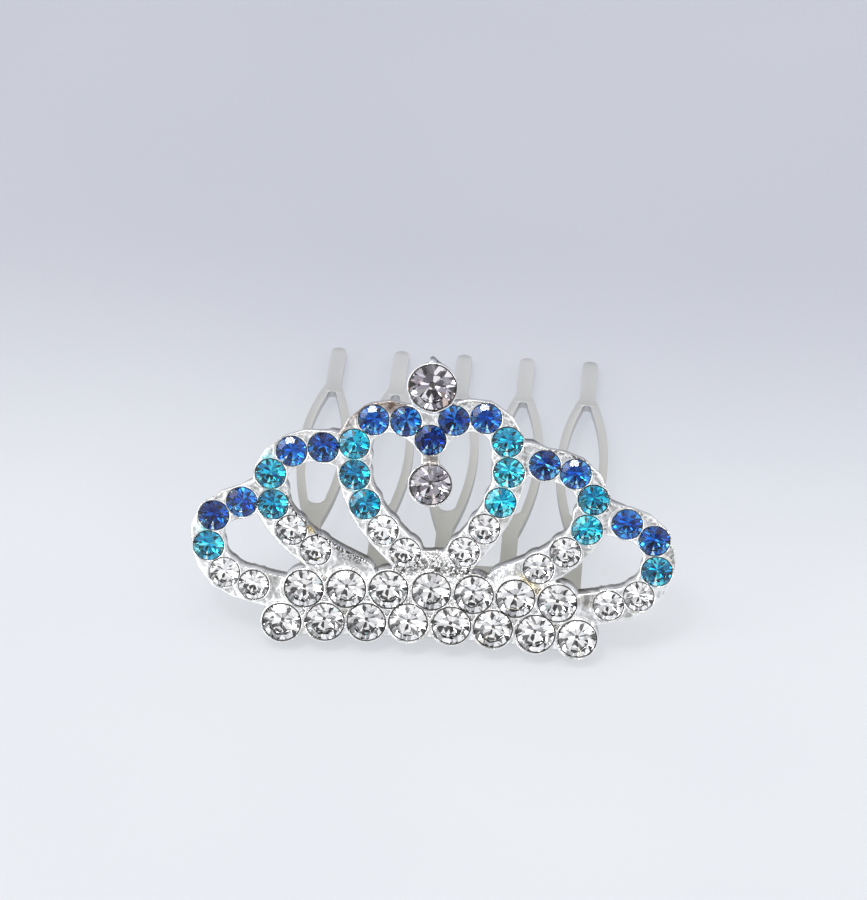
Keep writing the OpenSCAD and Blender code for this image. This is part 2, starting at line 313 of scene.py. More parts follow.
# %% [markdown]
# ## Floor
# A plain pale floor, faintly blue, with just enough tooth to look like matt card. It gets darker away
# from the viewer. A diffuse card alone would have dark shadows between the teeth, which the photograph
# doesn't show, so the card also glows a little in its own colour.

# %% Floor
FLOOR_SIDE = 4
REARWARD = (0, 1, 0)
DARKER_FROM, DARKER_TO = -12 * MM, 42 * MM
DARKER_BY = (0.70, 0.70, 0.75)
CARD_GLOW = 2.75
card, tree, main = finish_of("matt card")
place = node(tree, "TexCoord").outputs["Object"]
cloud = noise(tree, place, 14.0, 2.0)
tint = ramp(tree, [(0.3, (0.184, 0.191, 0.204)), (0.7, (0.195, 0.201, 0.210))], cloud)
# painted shade: the card's colour darkens away from the viewer
far = along_axis(tree, place, REARWARD, DARKER_FROM, DARKER_TO, interpolation_type="SMOOTHSTEP")
card_colour = mixed(tree, far, tint, DARKER_BY, "MULTIPLY")
tooth = noise(tree, place, 900.0, 4.0)
feed(tree, main, {"Base Color": card_colour, "Emission Color": card_colour, "Emission Strength": CARD_GLOW,
                  "Roughness": 0.8, "Normal": relief(tree, tooth, 0.15, 0.1 * MM)})
bpy.ops.mesh.primitive_plane_add(size=FLOOR_SIDE)
floor = bpy.context.object
floor.name = "floor"
floor.data.materials.append(card)

# %% [markdown]
# ## Silver plate
# The casting is a soft white metal with a bright silver plate. It is almost a mirror on the flats and
# slightly grained where the mould was rough. Low on its walls a dark, warm colour is painted shade. One
# even metal would look like plastic, so noise changes its tint, gloss and relief. Worn marks and some
# painted shade have colours of their own here, and where they lie is painted on the casting further down.

# %% Silver plate
PLATE_TONES = [(0.30, (0.78, 0.77, 0.74)), (0.46, (0.93, 0.93, 0.93)), (0.75, (0.97, 0.97, 0.98))]
# painted shade: the dark, warm colour low on the walls
WALL_SHADE_DARK = (0.11, 0.095, 0.085)
# black for the pits and for the painted shade along the outer edges
BLACK_PITS_AND_SHADE = (0.07, 0.065, 0.06)
# brown for tarnish, and for painted shade on the heart's left shoulder
BROWN_TARNISH_AND_SHADE = (0.16, 0.085, 0.045)
GLUE_YELLOW = (0.80, 0.66, 0.34)
LACQUER_AQUA = (0.24, 0.80, 0.88)
# heights over the back up to which a wall has painted shade, and from which it has none
WALL_SHADE_TO, WALL_LIT_FROM = 0.80 * MM, 1.75 * MM
# how far a surface faces out: less than the first is the back itself, more than the second a wall
BACK_FACES, WALL_FACES = -0.75, -0.35
silver, tree, main = finish_of("silver plate")
coordinates = node(tree, "TexCoord").outputs
place = coordinates["Object"]
wave = noise(tree, place, 420.0, 2.0)
plate = ramp(tree, PLATE_TONES, wave)
# painted shade darkens the lowest part of the walls, but not the back itself
high_wall = along_axis(tree, place, OUT, back_w + WALL_SHADE_TO, back_w + WALL_LIT_FROM)
outside = along_axis(tree, coordinates["Normal"], OUT, BACK_FACES, WALL_FACES)
low_wall = math_of(tree, "SUBTRACT", 1.0, high_wall)
plate = mixed(tree, math_of(tree, "MULTIPLY", low_wall, outside), plate, WALL_SHADE_DARK)
# the painted marks: red for dark pits and painted shade, green for brown tarnish and painted shade, blue for
# yellow glue, alpha for lacquer
painted = node(tree, "Attribute", attribute_name="wear_and_shade").outputs
wear_and_shade = node(tree, "SeparateColor", {0: painted["Color"]}).outputs
speck = ramp(tree, [(0.47, 0.0), (0.53, 1.0)], noise(tree, place, 3600.0, 1.0))
smear = ramp(tree, [(0.40, 0.6), (0.60, 1.0)], wave)
for channel, broken, colour in (("Red", speck, BLACK_PITS_AND_SHADE), ("Green", smear, BROWN_TARNISH_AND_SHADE),
                                ("Blue", smear, GLUE_YELLOW)):
    plate = mixed(tree, math_of(tree, "MULTIPLY", wear_and_shade[channel], broken), plate, colour)
plate = mixed(tree, painted["Alpha"], plate, LACQUER_AQUA)
gloss = ramp(tree, [(0.3, 0.08), (0.7, 0.20)], wave)
grain = relief(tree, noise(tree, place, 2600.0, 3.0), 0.22, 0.03 * MM)
swell = relief(tree, noise(tree, place, 1100.0, 1.0), 1.0, 0.06 * MM, grain)
feed(tree, main, {"Base Color": plate, "Metallic": 1, "Roughness": gloss, "Normal": swell})

# %% [markdown]
# ## Comb metal
# The comb is stamped from sheet and only barrel polished, so it is a satin grey with a warm cast. It
# is paler towards the tips of the teeth.

# %% Comb metal
PALER_FROM, PALER_TO = -10 * MM, 20 * MM
TIP_GREY = (0.69, 0.69, 0.70)
comb_metal, tree, main = finish_of("comb metal")
place = node(tree, "TexCoord").outputs["Object"]
cloud = noise(tree, place, 160.0, 4.0)
tint = ramp(tree, [(0.3, (0.32, 0.317, 0.295)), (0.7, (0.39, 0.39, 0.365))], cloud)
tipward = along_axis(tree, place, REARWARD, PALER_FROM, PALER_TO)
satin = ramp(tree, [(0.3, 0.30), (0.7, 0.42)], cloud)
scratched = relief(tree, noise(tree, place, 3000.0, 2.0), 0.2, 0.02 * MM)
feed(tree, main, {"Base Color": mixed(tree, tipward, tint, TIP_GREY), "Metallic": 1, "Roughness": satin,
                  "Normal": scratched})

# %% [markdown]
# ## Glass and foil
# Each stone is cut glass with a foiled back. Light goes in through the crown, is thrown about by the
# foil and comes out again tinted. Glass alone would look like jelly, so a stone wears two finishes:
# glass down to the girdle, and below it a mirror foil, whose tint changes from flat to flat. Its dark
# flats are painted shade, its pale and coloured ones painted highlights.

# %% Glass and foil
GLASS_IOR, GLASS_SHEEN = 1.6, 0.35
FOIL_ROUGH = 0.03


def glass(name, colour):
    """Polished glass with a faint tint."""
    m, tree, main = finish_of(name)
    feed(tree, main, {"Base Color": colour, "Roughness": 0.0, "IOR": GLASS_IOR,
                      "Specular IOR Level": GLASS_SHEEN, "Transmission Weight": 1})
    return m


def foil(name, stops):
    """A mirror foil whose tint on each flat follows the tone that is stored with the flat: low tones are
    painted shade, high ones painted highlights.
    """
    m, tree, main = finish_of(name)
    tone = node(tree, "Attribute", attribute_name="tone").outputs["Fac"]
    feed(tree, main, {"Base Color": ramp(tree, stops, tone), "Metallic": 1, "Roughness": FOIL_ROUGH})
    return m


# the foils' tints: dark painted shade at the low end, each foil's own colour in the middle, white painted
# highlights at the top, and on the clear and smoky foils painted flecks of coloured fire
BLUE_TONES = [(0.0, (0.004, 0.05, 0.26)), (0.28, (0.025, 0.22, 0.57)), (0.52, (0.11, 0.48, 0.89)),
              (0.72, (0.62, 0.94, 1.0)), (0.86, (1.0, 1.0, 1.0))]
AQUA_TONES = [(0.0, (0.004, 0.24, 0.42)), (0.28, (0.07, 0.62, 0.80)), (0.52, (0.30, 0.94, 1.0)),
              (0.72, (0.80, 1.0, 1.0)), (0.86, (1.0, 1.0, 1.0))]
CLEAR_TONES = [(0.0, (0.76, 0.76, 0.77)), (0.30, (0.97, 0.97, 0.975)), (0.50, (1.0, 1.0, 1.0)),
               (0.93, (1.0, 1.0, 1.0)), (0.955, (0.76, 0.96, 1.0)), (0.97, (1.0, 0.92, 0.82)),
               (0.985, (1.0, 1.0, 1.0))]
SMOKY_TONES = [(0.0, (0.25, 0.23, 0.26)), (0.30, (0.72, 0.70, 0.75)), (0.55, (0.99, 0.98, 1.0)),
               (0.88, (1.0, 1.0, 1.0)), (0.92, (1.0, 0.66, 0.44)), (0.96, (0.74, 0.84, 1.0)),
               (0.99, (1.0, 1.0, 1.0))]
clear_glass = glass("clear glass", (0.99, 0.99, 1.0))
FINISHES = {
    "blue": (glass("blue glass", (0.74, 0.90, 0.99)), foil("blue foil", BLUE_TONES)),
    "aqua": (glass("aqua glass", (0.80, 0.97, 0.995)), foil("aqua foil", AQUA_TONES)),
    "clear": (clear_glass, foil("silver foil", CLEAR_TONES)),
    "smoky": (clear_glass, foil("dark silver foil", SMOKY_TONES)),
}
print("finishes", ", ".join(FINISHES))

# %% [markdown]
# ## Cutting a stone
# A stone is cut here as at the wheel. It starts as a round blank and each flat is a cut by one plane:
# eight mains with eight breaks on the crown, sixteen flats on the back, then the table and the small
# flat at the point. A cone with flat sides would be quicker, but it lacks the breaks that sparkle.

# %% Cutting a stone
# a flat of a ring of sixteen is nearer to the middle than its corners are, by this factor
FLAT_TO_CORNER = math.cos(math.radians(11.25))
BREAK_RADIUS, BREAK_STEEPER = 0.485, math.radians(14)
# the back's flats between the mains are flatter by a hair, so that the sixteen differ
BACK_FLATTER = 0.03
# a flat belongs to the back, and has foil, where its normal points down by more than this
FOIL_BELOW = -0.1
# painted shade and painted highlight: the flats of each ring are dark and pale in turn
SHADE_TONE, HIGHLIGHT_TONE = 0.30, 0.86


def cut(ring, turn, angle, radius, height):
    """Cut a ring of flats, each by a plane at an angle to the girdle's, through a radius and height."""
    reach = radius * math.sin(angle) + height * math.cos(angle)
    for k in range(ring):
        a = math.radians(turn + 360 / ring * k)
        n = Vector((math.cos(a) * math.sin(angle), math.sin(a) * math.sin(angle), math.cos(angle)))
        bpy.ops.mesh.select_all(action="SELECT")
        bpy.ops.mesh.bisect(plane_co=n * reach, plane_no=n, use_fill=True, clear_outer=True)


def brilliant(name, table, crown, girdle, depth, culet):
    """A stone of diameter 1 with its girdle at z = 0."""
    bpy.ops.mesh.primitive_cylinder_add(vertices=32, radius=0.5, depth=2, location=(0, 0, 0))
    ob = bpy.context.object
    pick(ob)
    bpy.ops.object.mode_set(mode="EDIT")
    up = math.atan2(crown, 0.5 - table / 2)
    down = math.pi - math.atan2(depth, 0.5 - culet / 2)
    rim = 0.5 * FLAT_TO_CORNER
    half = girdle / 2
    cut(8, 0, up, rim, half)
    cut(8, 22.5, up + BREAK_STEEPER, BREAK_RADIUS, half)
    cut(8, 0, down, rim, -half)
    cut(8, 22.5, down + BACK_FLATTER, rim, -half)
    cut(1, 0, 0, 0, half + crown)
    cut(1, 0, math.pi, 0, -half - depth)
    bpy.ops.mesh.select_all(action="SELECT")
    bpy.ops.mesh.remove_doubles(threshold=1e-5)
    bpy.ops.mesh.normals_make_consistent(inside=False)
    bpy.ops.object.mode_set(mode="OBJECT")
    for m in FINISHES["clear"]:
        ob.data.materials.append(m)
    tone = ob.data.attributes.new("tone", "FLOAT", "FACE")
    for f in ob.data.polygons:
        f.material_index = 1 if f.normal.z < FOIL_BELOW else 0
        f.use_smooth = False
        wedge = round(math.degrees(math.atan2(f.normal.y, f.normal.x)) / 22.5)
        tone.data[f.index].value = SHADE_TONE if wedge % 2 else HIGHLIGHT_TONE
    ob.name = ob.data.name = name
    return ob


pattern = brilliant("pattern_stone", table=0.62, crown=0.12, girdle=0.04, depth=0.48, culet=0.03)
print("pattern stone", len(pattern.data.polygons), "flats")

# %% [markdown]
# ## Setting the stones
# Every CAD stone gives its own place and width. The base rows are two CAD nodes of several stones
# each, evenly spaced, so equal shares of a row's width part them. Each stone is turned by its own
# amount, as nobody lines up flats by hand, and tips a little in its seat.

# %% Setting the stones
ROWS = {"base_stones_upper": 7, "base_stones_lower": 8}
SLOTS = {"blue": "blue_glass", "aqua": "aqua_glass", "clear": "clear_glass", "smoky": "clear_glass"}
# a CAD stone's girdle lies below its table by half the girdle and this share of the width
CAD_HALF_GIRDLE, CAD_CROWN = 0.09 * MM, 0.2
# how far a stone stands over its CAD girdle, and its width as a share of the CAD one
LIFT_SMALL, LIFT_BIG = 0.26 * MM, 0.14 * MM
WIDER = 1.03
# stones with a flat that faces straight up the face and mirrors the softbox, and their turn
GLINTS = ("blue_stone_03", "blue_stone_05", "blue_stone_07", "blue_stone_09")
GLINT_TURN = 98
# the other blue and aqua stones are turned away from it, in degrees, so that they don't glint
NO_GLINT = (10, 35)
MOST_TIP, MOST_TURN = 3.0, 45
TONE_SPREAD = 0.32
luck = random.Random(7)


def is_small(name):
    """The numbered nodes are the small stones of heart and loops."""
    return name[-2:].isdigit()


def seats(name):
    """(u, v, girdle w, diameter) of each stone in a node."""
    pts = spots(name)
    count = ROWS.get(name, 1)
    left, right = pts[:, 0].min(), pts[:, 0].max()
    share = np.minimum(((pts[:, 0] - left) / (right - left) * count).astype(int), count - 1)
    found = []
    for k in range(count):
        low, high = pts[share == k].min(0), pts[share == k].max(0)
        d = (high[0] - low[0]) / FLAT_TO_CORNER
        found.append(((low[0] + high[0]) / 2, (low[1] + high[1]) / 2,
                      high[2] - CAD_HALF_GIRDLE - CAD_CROWN * d, d))
    return found


def set_stones(name, kind, title):
    """Cut stones in the places of a node's stones, joined to one piece."""
    made = []
    lift = LIFT_SMALL if is_small(name) else LIFT_BIG
    for u, v, w, d in seats(name):
        angle = math.radians(luck.uniform(0, MOST_TIP))
        tip = Matrix.Rotation(angle, 4, Vector((1, luck.uniform(-1, 1), 0)))
        turn = Matrix.Rotation(math.radians(luck.uniform(0, MOST_TURN)), 4, "Z")
        if name in GLINTS:
            tip, turn = Matrix(), Matrix.Rotation(math.radians(GLINT_TURN), 4, "Z")
        elif kind in ("blue", "aqua"):
            turn = Matrix.Rotation(math.radians(GLINT_TURN + luck.uniform(*NO_GLINT)), 4, "Z")
        place = Matrix.Translation(FACE @ Vector((u, v, w + lift)))
        made.append(twin(pattern, title, place @ FACE @ tip @ turn @ Matrix.Scale(d * WIDER, 4)))
    ob = joined(title, made)
    for k, m in enumerate(FINISHES[kind]):
        ob.data.materials[k] = m
    for t in ob.data.attributes["tone"].data:
        t.value = min(max(t.value + luck.uniform(-TONE_SPREAD, TONE_SPREAD), 0), 1)
    dress(ob, None, SLOTS[kind], name)


for name in sorted(nodes):
    if name.startswith(("blue_", "aqua_", "clear_")):
        kind, _, number = name.split("_")
        set_stones(name, kind, f"{kind}_cut_{number}")
set_stones("top_stone", "smoky", "top_cut")
set_stones("drop_stone", "smoky", "drop_cut")
set_stones("base_stones_upper", "clear", "base_cut_upper")
set_stones("base_stones_lower", "clear", "base_cut_lower")
pick(pattern)
bpy.ops.object.delete()

# %% [markdown]
# ## Casting
# The casting is one lump of metal with soft edges. A copy of the CAD casting is turned flat and
# reshaped by moving its points: the bands' tops rise to ledges, the two deep cups narrow towards the
# back, and the outer walls slope in, as a casting's must to leave its mould. Bevels break where so
# many cups and bands cross, so a fine remesh melts it to one skin and smoothing rounds every edge, as
# tumbling and plating do. At the end it is turned back.

# %% Casting
# heights over the back: the CAD bands, the ledges that they rise to, and the rims of the cups
BAND_T, LEDGE_W, SMALL_RIM, BIG_RIM = 1.85 * MM, 2.12 * MM, 2.15 * MM, 2.45 * MM
SAME_LEVEL = 0.01 * MM
# how much of its own radius each deep cup loses at the back
NARROWED = (("top_stone", 0.16), ("drop_stone", 0.20))
# a deep cup's outer wall is this far out from its stone's edge, and half the nub on top is this wide
WALL_NEAR, WALL_FAR, NUB = 0.15 * MM, 0.35 * MM, 0.45 * MM
# stones up to this far apart share a band
NEIGHBOURS = 4.0 * MM
# a band's wall lies between the first and the last distance from the line between its stones, and the
# slope grows to full over the rise
EDGE_FROM, EDGE_RISE, EDGE_TO = 1.60 * MM, 0.25 * MM, 2.3 * MM
# an outer wall faces outwards or up the face by more than the first value, and fully so after the
# rise, where facing up counts for a little less
FACING_FROM, FACING_RISE, FACING_UP = 0.2, 0.4, 0.8
# how far an outer wall moves in at the ledge, and how much further at the back, in mm
DRAFT_TOP, DRAFT_BACK = 0.16, 0.36
VOXEL = 0.095 * MM
SMOOTHINGS, KEPT_SHARE = 5, 0.22


def merged(name, title, matrix):
    """A copy of a CAD node with its loose triangles merged to one skin."""
    ob = twin(nodes[name], title, matrix)
    pick(ob)
    bpy.ops.object.mode_set(mode="EDIT")
    bpy.ops.mesh.select_all(action="SELECT")
    bpy.ops.mesh.remove_doubles(threshold=0.001 * MM)
    bpy.ops.mesh.normals_make_consistent(inside=False)
    bpy.ops.object.mode_set(mode="OBJECT")
    return ob


def settle(ob, matrix=Matrix()):
    """Put an object's own place, and a further move, into its points."""
    ob.data.transform(matrix @ ob.matrix_world)
    ob.matrix_world = Matrix()


def smooth(ob):
    """Shade an object smooth all over."""
    pick(ob)
    bpy.ops.object.shade_smooth()


def narrow_cup(points, levels, name, share):
    """Draw the outer wall of a deep cup in, the more the nearer a point is to the back."""
    u, v, _, d = seats(name)[0]
    away = points[:, :2] - (u, v)
    dist = np.hypot(*away.T)
    wall = (dist > d / 2 + WALL_NEAR) & (dist < d / 2 + WALL_FAR)
    # the nub on top stays as it is
    wall &= (np.abs(away[:, 0]) > NUB) | (away[:, 1] < 0)
    low = 1 - np.clip(levels / BIG_RIM, 0, 1)
    points[wall, :2] -= away[wall] * (share * low[wall])[:, None]


def draft_walls(points):
    """Move the outer walls of heart and loops towards the lines between their stones."""
    small = [np.array(seats(n)[0][:2]) for n in sorted(nodes) if is_small(n)]
    near = np.full(len(points), 1.0)
    inward = np.zeros((len(points), 2))
    for k, a in enumerate(small):
        for b in small[k + 1:]:
            run = b - a
            if np.hypot(*run) > NEIGHBOURS:
                continue
            t = np.clip((points[:, :2] - a) @ run / (run @ run), 0, 1)
            gap = points[:, :2] - (a + t[:, None] * run)
            dist = np.hypot(*gap.T)
            closer = dist < near
            near[closer] = dist[closer]
            inward[closer] = -gap[closer] / np.maximum(dist[closer], 1e-9)[:, None]
    facing = -(inward[:, 0] * np.sign(points[:, 0]) + FACING_UP * inward[:, 1])
    share = np.clip((facing - FACING_FROM) / FACING_RISE, 0, 1)
    share *= np.clip((near - EDGE_FROM) / EDGE_RISE, 0, 1) * (near < EDGE_TO)
    low = 1 - np.clip((points[:, 2] - back_w) / LEDGE_W, 0, 1)
    points[:, :2] += inward * (share * (DRAFT_TOP + DRAFT_BACK * low) * MM)[:, None]


casting = merged("crown_frame", "casting", FACE.inverted())
points = points_of(casting.data)
levels = points[:, 2] - back_w
points[np.abs(levels - BAND_T) < SAME_LEVEL, 2] = back_w + LEDGE_W
for name, share in NARROWED:
    narrow_cup(points, levels, name, share)
draft_walls(points)
casting.data.vertices.foreach_set("co", points.ravel())
apply(casting, "REMESH", mode="VOXEL", voxel_size=VOXEL)
apply(casting, "SMOOTH", factor=0.5, iterations=SMOOTHINGS)
print("melted to", len(casting.data.polygons), "faces")
apply(casting, "DECIMATE", ratio=KEPT_SHARE)
settle(casting, FACE)
smooth(casting)
dress(casting, silver, "silver_plate", "crown_frame")

# %% [markdown]
# ## Grains
# The mould was rough where the loops meet the base, and the metal there froze in small round grains. A
# row of fine beads follows the inner edge of the left loop's leg. Relief in the finish would be too
# shallow for them, so each one is a small ball that sits half sunk in the casting. The metal's height
# under it is felt with a ray from the front.

# %% Grains
GRAINS = random.Random(11)
# the row of beads: its distance from the leg's middle line, its pitch, and the beads' radii in mm
ROW_OFF, ROW_PITCH = 1.45 * MM, 0.30 * MM
BEAD_RADII = (0.14, 0.19)
BEAD_LIFT = 0.04 * MM
# the field of grains: how many are tried, then in mm where they lie across and above the upper row's
# middle, their radii and how far they stand over the metal, and last how flat they are
GRAIN_TRIES = 260
FIELD_U, FIELD_V, GRAIN_RADII = (-4.6, 8.4), (1.2, 4.3), (0.15, 0.32)
GRAIN_LIFT = (-0.1, 0.12)
GRAIN_FLAT = 0.8
# grains keep this far from the middle of a stone, and lie on metal between these heights
CLEAR_OF_ROW, CLEAR_OF_SMALL = 2.1 * MM, 1.6 * MM
METAL_LOW, METAL_HIGH = 1.0 * MM, 2.3 * MM


def metal_at(u, v):
    """Height of the casting's front over its back at a place on the face, or 0."""
    start = FACE @ Vector((u, v, back_w + 8 * MM))
    hit, point = casting.ray_cast(start, -OUT)[:2]
    return point.dot(OUT) - back_w if hit else 0.0


def bead(u, v, w, r, squash=1.0):
    """A little round grain on the face."""
    bpy.ops.mesh.primitive_ico_sphere_add(subdivisions=2, radius=r, location=(u, v, back_w + w))
    ob = bpy.context.object
    ob.scale = (1, GRAINS.uniform(0.75, 1.0), squash)
    ob.rotation_euler = (0, 0, GRAINS.uniform(0, math.pi))
    bpy.context.view_layer.update()
    return ob


def centre(name, k=0):
    """Where a stone sits on the face."""
    return Vector(seats(name)[k][:2])


def off(place, u, v):
    """A place on the face moved by millimetres across and up."""
    return place + Vector((u, v)) * MM


def beside(points, gap):
    """The line of points moved sideways by a gap, to the left of its run."""
    moved = []
    for k, p in enumerate(points):
        d = (points[min(k + 1, len(points) - 1)] - points[max(k - 1, 0)]).normalized()
        moved.append(p + Vector((-d.y, d.x)) * gap)
    return moved


def along(points, pitch):
    """Places on a line of points, one pitch apart."""
    places, rest = [], 0.0
    for a, b in zip(points, points[1:]):
        length = (b - a).length
        while rest < length:
            places.append(a.lerp(b, rest / length))
            rest += pitch
        rest -= length
    return places


upper = [centre("base_stones_upper", k) for k in range(ROWS["base_stones_upper"])]
leg = [centre("aqua_stone_08"), centre("clear_stone_05"), centre("clear_stone_06"),
       off((upper[1] + upper[2]) / 2, -0.9, 1.6)]
grains = []
for p in along(beside(leg, ROW_OFF), ROW_PITCH):
    w = metal_at(p.x, p.y)
    if w > METAL_LOW:
        grains.append(bead(p.x, p.y, w + BEAD_LIFT, GRAINS.uniform(*BEAD_RADII) * MM))
stones = [(c, CLEAR_OF_ROW) for c in upper]
stones += [(centre(f"clear_stone_{n:02d}"), CLEAR_OF_SMALL) for n in (1, 2, 3, 4, 6, 8)]
for _ in range(GRAIN_TRIES):
    u = GRAINS.uniform(*FIELD_U) * MM
    v = upper[3].y + GRAINS.uniform(*FIELD_V) * MM
    r = GRAINS.uniform(*GRAIN_RADII) * MM
    room = min((Vector((u, v)) - c).length - size for c, size in stones)
    w = metal_at(u, v)
    if room > r * 0.4 and METAL_LOW < w < METAL_HIGH:
        grains.append(bead(u, v, w + GRAINS.uniform(*GRAIN_LIFT) * MM, r, GRAIN_FLAT))
print(len(grains), "grains")
grain_piece = joined("casting_grains", grains)
settle(grain_piece, FACE)
smooth(grain_piece)
dress(grain_piece, silver, "silver_plate")

# %% [markdown]
# ## Worn marks and painted shade
# Beside the beads and the grains the plate is pitted, elsewhere it is brown with tarnish or yellow
# with glue, and the lacquer of the aqua stones ran into the gaps between them. Painted shade darkens the
# outer edges of the heart and the loops. An image could hold all this, but the skin's points lie close
# enough together to paint them: red for pits and painted shade, green for tarnish and the shoulder's
# painted shade, blue for glue and alpha for lacquer.

# %% Worn marks and painted shade
PITS_AND_SHADE, TARNISH_AND_SHADE, GLUE, LACQUER = 0, 1, 2, 3
# the painted marks start at the first height over the back and are full after the second, so the back stays
# clean
WEAR_AND_SHADE_FROM, WEAR_AND_SHADE_RISE = 0.7 * MM, 0.4 * MM
# a spot falls from this in its middle, where all over 1 is cut off, to nothing at its reach
SPOT_SLOPE = 1.6
# distance from the middle line, reach and pitch of the pits beside the beads, of the painted shade along
# the outer edges and of the brown tarnish and painted shade on the heart's left shoulder
LEG_PITS, EDGE_SHADE, SHOULDER_TARNISH_AND_SHADE = (1.5, 0.5, 0.25), (1.76, 0.28, 0.2), (1.85, 0.45, 0.3)


def paint(ob, places):
    """Colour each point by how near it is to the (place, reach, channel, strength) spots on the face."""
    points = points_of(ob.data)
    uv = points @ np.array([ACROSS, UP]).T
    front = np.clip((points @ np.array(OUT) - back_w - WEAR_AND_SHADE_FROM) / WEAR_AND_SHADE_RISE, 0, 1)
    colour = np.zeros((len(uv), 4), dtype=np.float32)
    for place, reach, channel, strength in places:
        near = np.hypot(*(uv - np.array(place)).T) / reach
        here = front * strength * np.clip(SPOT_SLOPE - SPOT_SLOPE * near, 0, 1)
        colour[:, channel] = np.maximum(colour[:, channel], here)
    layer = ob.data.color_attributes.new("wear_and_shade", "FLOAT_COLOR", "POINT")
    layer.data.foreach_set("color", colour.ravel())


def streak(line, sizes, channel, strength):
    """Spots along a line of stones, at a distance from it, of one reach and one pitch apart, in mm."""
    gap, reach, pitch = sizes
    return [(p, reach * MM, channel, strength) for p in along(beside(line, gap * MM), pitch * MM)]


blue = [None] + [centre(f"blue_stone_{k:02d}") for k in range(1, 14)]
aqua = [None] + [centre(f"aqua_stone_{k:02d}") for k in range(1, 13)]
clear = [None] + [centre(f"clear_stone_{k:02d}") for k in range(1, 13)]
shoulder = [aqua[1], blue[3], blue[2]]
worn_and_shaded_places = streak(leg, LEG_PITS, PITS_AND_SHADE, 1.0)
for u, v in ((-3.0, 2.4), (-1.2, 2.6), (0.6, 2.7), (2.2, 2.3), (3.4, 2.6), (5.2, 2.2)):
    worn_and_shaded_places.append(((u * MM, upper[3].y + v * MM), 1.3 * MM, PITS_AND_SHADE, 0.9))
worn_and_shaded_places += [(off((blue[2] + blue[3]) / 2, 0, 1.6), 1.1 * MM, TARNISH_AND_SHADE, 1.0),
                (off(blue[4], -1.3, -1.3), 0.7 * MM, TARNISH_AND_SHADE, 0.6),
                (off(blue[1], 0.1, -2.0), 1.0 * MM, TARNISH_AND_SHADE, 0.9),
                (off((clear[5] + clear[6]) / 2, 0.7, 1.2), 0.6 * MM, GLUE, 0.9),
                (off(clear[8], -1.0, -1.6), 1.5 * MM, GLUE, 1.0),
                (off(upper[5], 1.6, 2.2), 1.3 * MM, GLUE, 1.0),
                (off(blue[11], 2.6, -0.6), 0.8 * MM, TARNISH_AND_SHADE, 0.7),
                (off(clear[12], -2.2, 0.3), 1.0 * MM, TARNISH_AND_SHADE, 0.7)]
# painted shade: a thin dark line along the outer edges of the heart and the loops, in the pits' black
for line, strength in ((shoulder, 0.5), ([blue[4], blue[5], aqua[4], aqua[5]], 0.6),
                       ([aqua[8], aqua[7], blue[7], blue[6]], 0.4),
                       ([blue[8], blue[9], aqua[9], aqua[10]], 0.8),
                       ([aqua[11], blue[11], blue[10]], 0.4), ([blue[12], blue[13], aqua[12]], 0.7)):
    worn_and_shaded_places += streak(line, EDGE_SHADE, PITS_AND_SHADE, strength)
# brown tarnish, and painted shade of the wall, along the heart's left shoulder
worn_and_shaded_places += streak(shoulder, SHOULDER_TARNISH_AND_SHADE, TARNISH_AND_SHADE, 0.7)
for a, b in ((1, 2), (2, 3), (4, 5), (5, 6), (7, 8), (9, 10)):
    worn_and_shaded_places.append(((aqua[a] + aqua[b]) / 2, 1.0 * MM, LACQUER, 0.75))
for a in (7, 11):
    worn_and_shaded_places.append((off(aqua[a], -0.4, 1.7), 0.9 * MM, LACQUER, 0.7))
for ob in (casting, grain_piece):
    paint(ob, worn_and_shaded_places)
print(len(worn_and_shaded_places), "worn places")

# %% [markdown]
# ## Painted gap shade
# Each stone sits a little off the middle of its cup, so a gap opens on one side of it and lies in
# shade. To cut such gaps into the casting would need a finer skin. A thin dark ring under each
# stone's edge, moved up and to the right, is painted shade that shows as the same crescent.

# %% Painted gap shade
GAPS = random.Random(5)
# a ring's height over the back, its thickness and how far it moves, the last two in mm
SMALL_RING, BIG_RING = (SMALL_RIM, 0.045, 0.06), (BIG_RIM, 0.07, 0.11)
RING_HEADING = (10, 85)
RING_INSET = 0.03 * MM
# painted shade: the rings are a dark, nearly black metal
gap_shade_metal, tree, main = finish_of("painted gap shade")
place = node(tree, "TexCoord").outputs["Object"]
gap_shade_tone = ramp(tree, [(0.3, (0.03, 0.028, 0.028)), (0.7, (0.12, 0.115, 0.11))], noise(tree, place, 1500.0, 2.0))
feed(tree, main, {"Base Color": gap_shade_tone, "Metallic": 1, "Roughness": 0.4})
rings = []
for name in sorted(nodes):
    if "stone" not in name:
        continue
    rim, thick, shift = SMALL_RING if is_small(name) else BIG_RING
    for u, v, _, d in seats(name):
        heading = math.radians(GAPS.uniform(*RING_HEADING))
        moved = shift * GAPS.uniform(0.5, 1.5) * MM
        middle = (u + math.cos(heading) * moved, v + math.sin(heading) * moved, back_w + rim)
        bpy.ops.mesh.primitive_torus_add(major_radius=d / 2 * WIDER - RING_INSET, minor_radius=thick * MM,
                                         major_segments=36, minor_segments=6, location=middle)
        rings.append(bpy.context.object)
gap_shade_piece = joined("stone_gap_shade", rings)
settle(gap_shade_piece, FACE)
smooth(gap_shade_piece)
dress(gap_shade_piece, gap_shade_metal, "silver_plate")

# %% [markdown]
# ## Comb
# The comb is one stamped sheet whose edges were tumbled. A copy of the CAD comb has the triangles of
# each flat face joined to one, so that only real edges are left for a bevel to round.

